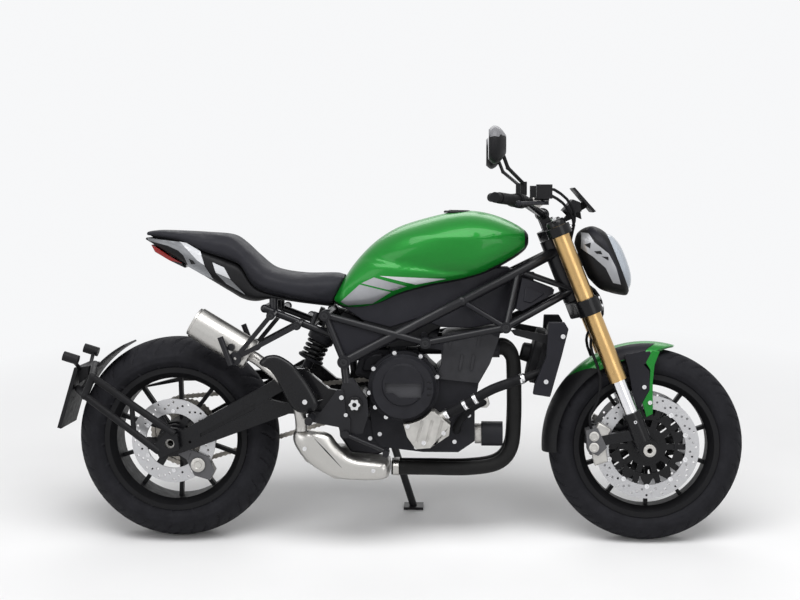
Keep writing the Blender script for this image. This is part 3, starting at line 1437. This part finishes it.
# Covers and castings behind the frame's tubes: outlines in X and Z
COVER_HALF, COVER_BREAK, COVER_NOSE, COVER_TAPER = 88, 190, 384, 0.8
COVER_REAR = [
    (-206, 732), (-150, 734), (-100, 746), (-40, 774), (20, 794), (80, 809), (140, 820), (190, 832),
    (190, 668), (96, 670), (24, 696), (-60, 668), (-146, 690),
]
COVER_FRONT = [
    (190, 832), (262, 852), (300, 852), (330, 838), (384, 836), (380, 800), (340, 742), (292, 684),
    (190, 668),
]
BATTERY_BOX = [(-226, 610), (-170, 596), (-128, 604), (-150, 692), (-204, 716), (-228, 690)]
SUMP = [(-216, 330), (-220, 384), (-124, 392), (-66, 336), (-62, 290), (-100, 274), (-181, 281)]
UPPER_CASE = [
    (-172, 520), (-156, 582), (-112, 602), (24, 602), (58, 560), (94, 528), (60, 500), (-120, 500),
]
BREATHER = [(-150, 530), (-140, 570), (-108, 586), (-84, 586), (-84, 530)]
# Panels beside the steering head: outlines as shares of the triangle between the frame's tubes
FRONT_NODE, WEB_TOP, WEB_HEAD = Vector((293, 140, 674)), Vector((331, 65, 844)), Vector((496, 22, 778))
WEB_PANEL = [(0.26, 0.10), (0.80, 0.10), (0.74, 0.17), (0.22, 0.70), (0.14, 0.70), (0.14, 0.22)]
WEB_RIB = [(0.32, 0.20), (0.60, 0.18), (0.24, 0.54), (0.20, 0.34)]
# Turned pieces: distance along the axis and radius
THROTTLE_PROFILE = [(0, 33), (26, 33), (28, 29), (64, 29), (66, 34), (92, 34)]
THROTTLE_AXIS, THROTTLE_Y, PULLEY_PROFILE = Vector((1, 0, -0.42)), 44, [(-16, 11), (16, 11)]
STARTER_PROFILE = [(-70, 24), (-66, 29), (58, 29), (62, 20), (72, 20)]
FAN_CENTRE, FAN_TILT = Vector((425, 0, 570)), math.radians(14)
FAN_AXIS = Vector((-math.cos(FAN_TILT), 0, math.sin(FAN_TILT)))
FAN_PROFILE = [(28, 86), (48, 86), (54, 80), (56, 52), (58, 30), (80, 28), (84, 22), (84, 0.5)]


def tapered(x, y, z):
    """Narrows the cover under the tank towards the steering head."""
    return Vector((x, y * (1 - COVER_TAPER * (x - COVER_BREAK) / (COVER_NOSE - COVER_BREAK)), z))


def on_web(a, y, b):
    """A place on the triangle beside the steering head, and a distance out of it."""
    upper, head = WEB_TOP - FRONT_NODE, WEB_HEAD - FRONT_NODE
    return FRONT_NODE + a * upper + b * head + y * upper.cross(head).normalized()


class ROADSTER_OT_intake(bpy.types.Operator):
    """Dark cover under the tank, throttle bodies and the starter, which fill the frame behind its tubes"""

    bl_idname = "roadster.intake"
    bl_label = "Intake and Starter"

    def execute(self, context):
        cover = Shape().slab(COVER_REAR, -COVER_HALF, COVER_HALF)
        cover.slab(COVER_FRONT, -COVER_HALF, COVER_HALF, tapered)
        bodies = Shape()
        for side in (RIGHT, LEFT):
            bodies.lathe(THROTTLE_PROFILE, (-6, side.y * THROTTLE_Y, 664), THROTTLE_AXIS)
            bodies.lathe(PULLEY_PROFILE, (44, side.y * (THROTTLE_Y + 34), 644), LEFT, 20)
        web = Shape().slab(WEB_PANEL, -2.5, 2.5, on_web).mirrored()
        ribs = Shape().slab(WEB_RIB, -5.5, 5.5, on_web).mirrored()
        upper = Shape().slab(UPPER_CASE, -66, 66).slab(BREATHER, -76, -60)
        for name, shape, look, slot, bevel in (
            ("tank_cover", cover, "cover grey", "plastic_black", 3),
            ("battery_box", Shape().slab(BATTERY_BOX, -64, 64), "moulded black", "plastic_black", 5),
            ("head_panels", web, "moulded grey", "plastic_grey", 1.2),
            ("head_panel_ribs", ribs, "moulded grey", "plastic_grey", 2.5),
            ("throttle_bodies", bodies, "dark cast", "engine_dark", 1.5),
            ("starter_motor", Shape().lathe(STARTER_PROFILE, (-38, 0, 596), LEFT),
             "dark cast", "engine_dark", 1.5),
            ("sump_casting", Shape().slab(SUMP, -92, 66), "dark cast", "engine_dark", 7),
            ("upper_case", upper, "dark cast", "engine_dark", 6),
            ("fan_housing", Shape().lathe(FAN_PROFILE, FAN_CENTRE, FAN_AXIS, 48),
             "moulded black", "plastic_black", 1),
        ):
            shape.piece(name, "chassis", look, slot, bevel=bevel)
        return {"FINISHED"}


# Waved rings: reach, wave, lobes and bore, and the planes across the machine
CARRIER_RING, CARRIER_PLANES = (103, -15, 10, 84), (67, 64)
CALIPER_IN, CALIPER_OUT, CALIPER_PLANES = 128, 172, (82, 112)
CALIPER_TURNS = (130, 136, 144, 152, 160, 168, 176)
PISTON_PROFILE = [(0, 15), (4, 15), (5, 13), (5, 9), (4, 8), (4, 0.5)]
REAR_PISTON_PROFILE = [(0, 22), (5, 22), (6, 20), (6, 12), (4, 10), (4, 0.5)]


class ROADSTER_OT_brakes(bpy.types.Operator):
    """Waved disc carriers, the front calipers' bright halves and the pistons' covers"""

    bl_idname = "roadster.brakes"
    bl_label = "Brake Details"

    def execute(self, context):
        carriers = Shape().waved_ring(FRONT_AXLE, *CARRIER_RING, *CARRIER_PLANES, 180).mirrored()
        carriers.piece("disc_carriers", "front_wheel", "gloss black", "wheel_black")
        arc = [(CALIPER_OUT, turn) for turn in CALIPER_TURNS]
        arc += [(CALIPER_IN, turn) for turn in reversed(CALIPER_TURNS)]
        axle = Vector((AXLE_OFFSET, 0, 0))
        places = [polar(axle, radius, math.radians(turn)) for radius, turn in arc]
        halves = Shape().slab([(p.x, p.z) for p in places], *CALIPER_PLANES, steered).mirrored()
        halves.piece("caliper_halves", "steering", "bright cast", "caliper_grey", bevel=4)
        covers = Shape()
        for z in (306, 340):
            covers.lathe(PISTON_PROFILE, (564, 117.5, z), LEFT, 28)
        covers.mirrored().piece("front_piston_covers", "steering", "bright cast", "caliper_grey")
        rear = Shape().lathe(REAR_PISTON_PROFILE, (-652, -124.5, 244), RIGHT)
        rear.piece("rear_piston_cover", "chassis", "bright cast", "caliper_grey")
        return {"FINISHED"}


# Screws: X, Y, Z and size; Y is the side of a single screw and the half distance of a pair
EAR_R, EAR_TURNS = CLUTCH_R + 6, (17, 61, 105, 149, 190, 216, 240)
EAR_PROFILE = [(-CASE_HALF - 36, 9.5), (-CASE_HALF - 1, 10.5)]
ALTERNATOR, ALTERNATOR_R, ALTERNATOR_TURNS = Vector((100, 0, 405)), 84, range(20, 380, 45)
PUMP_SCREWS = [(-3, -177, 376, 14), (46, -177, 326, 14), (106, -177, 356, 14)]
CASE_SCREWS = [(x, CASE_HALF + 1, z, 13) for x, z in ((138, 318), (182, 400), (-92, 340), (20, 300))]
SHROUD_SCREWS = [(464, 169, 650, 14), (414, 169, 513, 14)]
EXHAUST_SCREWS = [(-316, -177, 305, 13), (-107, -177, 240, 13), (-310, -221, 454, 15)]
PLATE_SCREWS = [(-203, 181, 463, 14), (-190, 181, 410, 12)]
SUMP_SCREWS = [(-186, -93, 352, 13), (-122, -93, 326, 13)]
FRAME_BOLTS = [
    (50, 167, 627, 20), (293, 157, 674, 20), (-197, 171, 569, 22), (-255, 163, 709, 20),
    (-334, 224, 683, 16), (-412, 224, 713, 16),
]
MUDGUARD_SCREWS = [(718, 81, 488, 13), (736, 81, 440, 13)]
PINCH_HEIGHTS, PINCH_FORWARD, TOP_BOLT, FOOT_SCREW = (720, 486, 460), FORK_OFFSET + 38, 756, 96
RIVET_R, RIVET_Y, RIVET_TURNS = 122, 68.7, range(18, 378, 36)
REAR_RIVET_R, REAR_RIVET_Y, REAR_RIVET_TURNS = 92, -110.8, range(30, 390, 60)
CAP_PROFILE = [(735.5, 30), (748, 30), (755, 25), (755, 0.5)]
BRAKE_CYLINDER = [(366, 1066), (404, 1066), (400, 1046), (386, 1036), (372, 1042)]
PIVOT, NUT_RING, NUT_PLANES = Vector((-163, 0, 442)), (15.5, 2, 6, 7), (187.5, 194)


def singles(rows):
    """Screws on the machine's right side."""
    return [((x, y, z), RIGHT, size) for x, y, z, size in rows]


def pairs(rows):
    """The same screws on both sides of the machine."""
    return [((x, side.y * y, z), side, size) for x, y, z, size in rows for side in (RIGHT, LEFT)]


def circle(centre, radius, y, axis, turns, size):
    """Screws on a circle, at turns in degrees."""
    return [(polar(centre, radius, math.radians(turn), y), axis, size) for turn in turns]


def fork_screws():
    """Pinch bolts, top bolts and guard screws of both fork legs."""
    screws = pairs(MUDGUARD_SCREWS)
    for side in (RIGHT, LEFT):
        y = side.y * FORK_HALF
        for height in PINCH_HEIGHTS:
            screws.append((steered(PINCH_FORWARD, y, height), STEER_FWD, 12))
        screws.append((steered(FORK_OFFSET, y, TOP_BOLT), STEER_UP, 18))
        screws.append((steered(FORK_OFFSET, y + side.y * 28, FOOT_SCREW), side, 10))
    return screws


class ROADSTER_OT_screws(bpy.types.Operator):
    """Bright screws over the engine, frame, fork and discs"""

    bl_idname = "roadster.screws"
    bl_label = "Screws"

    def execute(self, context):
        head = context.scene.roadster_sizes.screw / (SCREW * MM)
        ears = Shape()
        for turn in EAR_TURNS:
            ears.lathe(EAR_PROFILE, polar(CLUTCH, EAR_R, math.radians(turn)), LEFT, 24)
        ears.piece("cover_ears", "chassis", "dark cast", "engine_dark", bevel=1)
        bright = circle(CLUTCH, EAR_R, -CASE_HALF - 37, RIGHT, EAR_TURNS, SCREW)
        bright += circle(ALTERNATOR, ALTERNATOR_R, CASE_HALF + 41, LEFT, ALTERNATOR_TURNS, 12)
        bright += singles(PUMP_SCREWS) + pairs(CASE_SCREWS) + pairs(SHROUD_SCREWS)
        bright += singles(EXHAUST_SCREWS) + pairs(PLATE_SCREWS) + singles(SUMP_SCREWS)
        scatter("engine_screws", socket_head, bright, "bolt", "bright_alloy", "chassis", head)
        bolts = pairs(FRAME_BOLTS)
        scatter("frame_screws", socket_head, bolts, "dark bolt", "frame_black", "chassis", head)
        caps = Shape()
        for y in (-FORK_HALF, FORK_HALF):
            caps.lathe(CAP_PROFILE, steered(FORK_OFFSET, y, 0), STEER_UP)
        caps.piece("fork_caps", "steering", "gloss black", "frame_black")
        cylinder = Shape().slab(BRAKE_CYLINDER, -246, -220)
        cylinder.piece("brake_cylinder", "steering", "bright cast", "bright_alloy", bevel=3)
        nuts = Shape().waved_ring(PIVOT, *NUT_RING, *NUT_PLANES, 72).mirrored()
        nuts.piece("pivot_nuts", "chassis", "bolt", "bright_alloy")
        scatter("fork_screws", socket_head, fork_screws(), "bolt", "bright_alloy", "steering", head)
        rivets = []
        for side in (RIGHT, LEFT):
            rivets += circle(FRONT_AXLE, RIVET_R, side.y * RIVET_Y, side, RIVET_TURNS, 15)
        scatter("disc_rivets", socket_head, rivets, "bolt", "disc_steel", "front_wheel", head)
        rear = circle(REAR_AXLE, REAR_RIVET_R, REAR_RIVET_Y, RIGHT, REAR_RIVET_TURNS, SCREW)
        scatter("rear_disc_rivets", socket_head, rear, "bolt", "disc_steel", "rear_wheel", head)
        return {"FINISHED"}


CHAIN_PITCH, REAR_TEETH, FRONT_TEETH = 15.875, 43, 16
FRONT_SPROCKET = Vector((-75, 0, 450))
ARC_STEPS = 60
OUTER_PLATE, INNER_PLATE = 9.0, 6.6


def chain_path():
    """Round of the chain over both sprockets: a function of the distance along it, and its length."""
    rear, front = (CHAIN_PITCH / (2 * math.sin(math.pi / teeth)) for teeth in (REAR_TEETH, FRONT_TEETH))
    span = REAR_AXLE - FRONT_SPROCKET
    tilt = math.asin((rear - front) / span.length)
    base = math.atan2(span.z, span.x)
    start, end = base - math.pi / 2 - tilt, base + math.pi / 2 + tilt
    arcs = ((REAR_AXLE, rear, start, end), (FRONT_SPROCKET, front, end, start + 2 * math.pi))
    points = [
        polar(centre, radius, mix(first, last, i / ARC_STEPS))
        for centre, radius, first, last in arcs for i in range(ARC_STEPS + 1)
    ]
    points.append(points[0])
    marks = [0.0]
    for a, b in zip(points, points[1:]):
        marks.append(marks[-1] + (b - a).length)

    def at(distance):
        distance %= marks[-1]
        i = max(k for k, mark in enumerate(marks[:-1]) if mark <= distance)
        return points[i].lerp(points[i + 1], (distance - marks[i]) / (marks[i + 1] - marks[i]))

    return at, marks[-1]


class ROADSTER_OT_chain(bpy.types.Operator):
    """Drive chain as separate plates and rollers"""

    bl_idname = "roadster.chain"
    bl_label = "Drive Chain"

    def execute(self, context):
        at, length = chain_path()
        count = 2 * round(length / CHAIN_PITCH / 2)
        step = length / count
        plates, rollers = [], []
        for i in range(count):
            here, there = at(i * step), at((i + 1) * step)
            along = (there - here).normalized()
            for side in (-1, 1):
                y = CHAIN_Y + side * (OUTER_PLATE if i % 2 else INNER_PLATE)
                plates.append(((here + there) / 2 + Vector((0, y, 0)), LEFT, step, along))
            rollers.append((here + Vector((0, CHAIN_Y, 0)), LEFT, step, along))
        scatter("chain_plates", link_plate, plates, "chain steel", "chain_steel", "chassis", 1, ["chain"])
        scatter("chain_rollers", chain_roller, rollers, "chain steel", "chain_steel", "chassis")
        return {"FINISHED"}


# Stage: pale ground, lamps with place, aim and size in metres and their share of the key lamp's power,
# and the camera, with its picture and the point that level lines across the machine run to in pixels
PALE = (0.93, 0.935, 0.945, 1)
FLOOR_R, FLOOR_SIDES, FLOOR_FADE = 16, 96, (1.3, 2.6)
FLOOR_DARK, FLOOR_LIGHT = (0.80, 0.80, 0.805), (0.83, 0.83, 0.835)
SKY_STRENGTH = 0.28
LAMPS = [
    ("overhead", (0.2, -1.6, 4.2), (0.1, 0, 0.6), (5.0, 2.2), 1.0),
    ("front_fill", (2.8, -4.2, 2.2), (0.4, 0, 0.6), (2.4, 2.4), 0.2),
    ("rear_fill", (-3.2, -3.6, 2.0), (-0.4, 0, 0.6), (2.4, 2.4), 0.2),
    ("far_rim", (0.0, 3.6, 3.0), (0, 0, 0.7), (4.0, 1.6), 0.3),
]
EYE, FOCAL, SENSOR = Vector((190, -4800, 1065)), 1541, 36
PICTURE_W, PICTURE_H = 800, 600
VANISH_X, VANISH_Y = 472, 198


def mixed_shader(tree, share, first, second, output):
    """Ends a tree's surface as a mix of two shaders."""
    blend = add_node(tree, "ShaderNodeMixShader", Fac=share)
    tree.links.new(first, blend.inputs[1])
    tree.links.new(second, blend.inputs[2])
    tree.links.new(blend.outputs["Shader"], tree.nodes[output].inputs["Surface"])


class ROADSTER_OT_stage(bpy.types.Operator):
    """Pale floor, soft lamps and the camera at the photograph's angle"""

    bl_idname = "roadster.stage"
    bl_label = "Stage"

    def execute(self, context):
        self.ground(context.scene)
        self.light(context.scene)
        self.camera(context.scene)
        return {"FINISHED"}

    def ground(self, scene):
        """Disc that fades into the pale ground away from the machine."""
        recipe = Recipe("floor_pale", Roughness=0.9)
        recipe.tint(recipe.noise(2, 2), FLOOR_DARK, FLOOR_LIGHT)
        away = add_node(recipe.tree, "ShaderNodeVectorMath", Vector=recipe.place)
        away.operation = "LENGTH"
        share = recipe.ranged(away.outputs["Value"], 0, 1, FLOOR_FADE)
        pale = add_node(recipe.tree, "ShaderNodeEmission", Color=PALE).outputs["Emission"]
        mixed_shader(recipe.tree, share, recipe.surface.outputs["BSDF"], pale, "Material Output")
        mesh = bpy.data.meshes.new("floor")
        bm = bmesh.new()
        bmesh.ops.create_circle(bm, cap_ends=True, segments=FLOOR_SIDES, radius=FLOOR_R)
        bm.to_mesh(mesh)
        bm.free()
        mesh.materials.append(recipe.material)
        floor = bpy.data.objects.new("floor", mesh)
        scene.collection.objects.link(floor)

    def light(self, scene):
        """White sky that looks pale where it is seen or mirrored, and four soft lamps."""
        scene.view_settings.view_transform = "Standard"
        world = scene.world or bpy.data.worlds.new("studio")
        scene.world = world
        world.use_nodes = True
        tree = world.node_tree
        sky = tree.nodes["Background"]
        set_inputs(tree, sky, {"Color": (1, 1, 1, 1), "Strength": SKY_STRENGTH})
        seen = add_node(tree, "ShaderNodeBackground", Color=PALE, Strength=1.0)
        path = tree.nodes.new("ShaderNodeLightPath").outputs
        plain = path["Is Camera Ray"]
        for kind in ("Is Glossy Ray", "Is Transmission Ray"):
            either = tree.nodes.new("ShaderNodeMath")
            either.operation = "MAXIMUM"
            tree.links.new(plain, either.inputs[0])
            tree.links.new(path[kind], either.inputs[1])
            plain = either.outputs["Value"]
        shown = seen.outputs["Background"]
        mixed_shader(tree, plain, sky.outputs["Background"], shown, "World Output")
        for name, place, aim, size, share in LAMPS:
            lamp = bpy.data.lights.new(name, "AREA")
            lamp.shape = "RECTANGLE"
            lamp.size, lamp.size_y = size
            lamp.energy = scene.roadster_sizes.key_light * share
            obj = bpy.data.objects.new(name, lamp)
            obj.location = place
            obj.rotation_euler = (Vector(aim) - Vector(place)).to_track_quat("-Z", "Y").to_euler()
            scene.collection.objects.link(obj)

    def camera(self, scene):
        """Set on the upright machine, then leaned with it, so that the machine stands square in view."""
        across, down = (PICTURE_W / 2 - VANISH_X) / FOCAL, (PICTURE_H / 2 - VANISH_Y) / FOCAL
        ahead = Vector((across, 1, -down)).normalized()
        right = ahead.cross(Vector((0, 0, 1))).normalized()
        turn = Matrix((right, right.cross(ahead), -ahead)).transposed().to_4x4()
        lean = PARKED.to_quaternion().to_matrix().to_4x4()
        data = bpy.data.cameras.new("camera")
        data.sensor_width = SENSOR
        data.lens = FOCAL / PICTURE_W * SENSOR
        camera = bpy.data.objects.new("camera", data)
        camera.matrix_world = Matrix.Translation(PARKED @ EYE) @ lean @ turn
        scene.collection.objects.link(camera)
        scene.camera = camera


OPERATORS = [
    ROADSTER_OT_finishes,
    ROADSTER_OT_stage,
    ROADSTER_OT_tank,
    ROADSTER_OT_seat,
    ROADSTER_OT_tail,
    ROADSTER_OT_headlamp,
    ROADSTER_OT_tyres,
    ROADSTER_OT_pipes,
    ROADSTER_OT_mudguard,
    ROADSTER_OT_castings,
    ROADSTER_OT_shields,
    ROADSTER_OT_damper,
    ROADSTER_OT_clamps,
    ROADSTER_OT_intake,
    ROADSTER_OT_brakes,
    ROADSTER_OT_screws,
    ROADSTER_OT_chain,
]


class ROADSTER_PT_looks(bpy.types.Panel):
    """Buttons for each group of pieces"""

    bl_label = "Roadster Looks"
    bl_idname = "ROADSTER_PT_looks"
    bl_space_type = "VIEW_3D"
    bl_region_type = "UI"
    bl_category = "Roadster"

    def draw(self, context):
        for group in (context.scene.roadster_colours, context.scene.roadster_sizes):
            for name in group.__annotations__:
                self.layout.prop(group, name)
        for operator in OPERATORS:
            self.layout.operator(operator.bl_idname)


CLASSES = [RoadsterColours, RoadsterSizes, *OPERATORS, ROADSTER_PT_looks]


def register():
    for each in CLASSES:
        bpy.utils.register_class(each)
    bpy.types.Scene.roadster_colours = PointerProperty(type=RoadsterColours)
    bpy.types.Scene.roadster_sizes = PointerProperty(type=RoadsterSizes)


def unregister():
    del bpy.types.Scene.roadster_sizes
    del bpy.types.Scene.roadster_colours
    for each in reversed(CLASSES):
        bpy.utils.unregister_class(each)


def main():
    register()
    for operator in OPERATORS:
        group, name = operator.bl_idname.split(".")
        getattr(getattr(bpy.ops, group), name)()


if __name__ == "__main__":
    main()
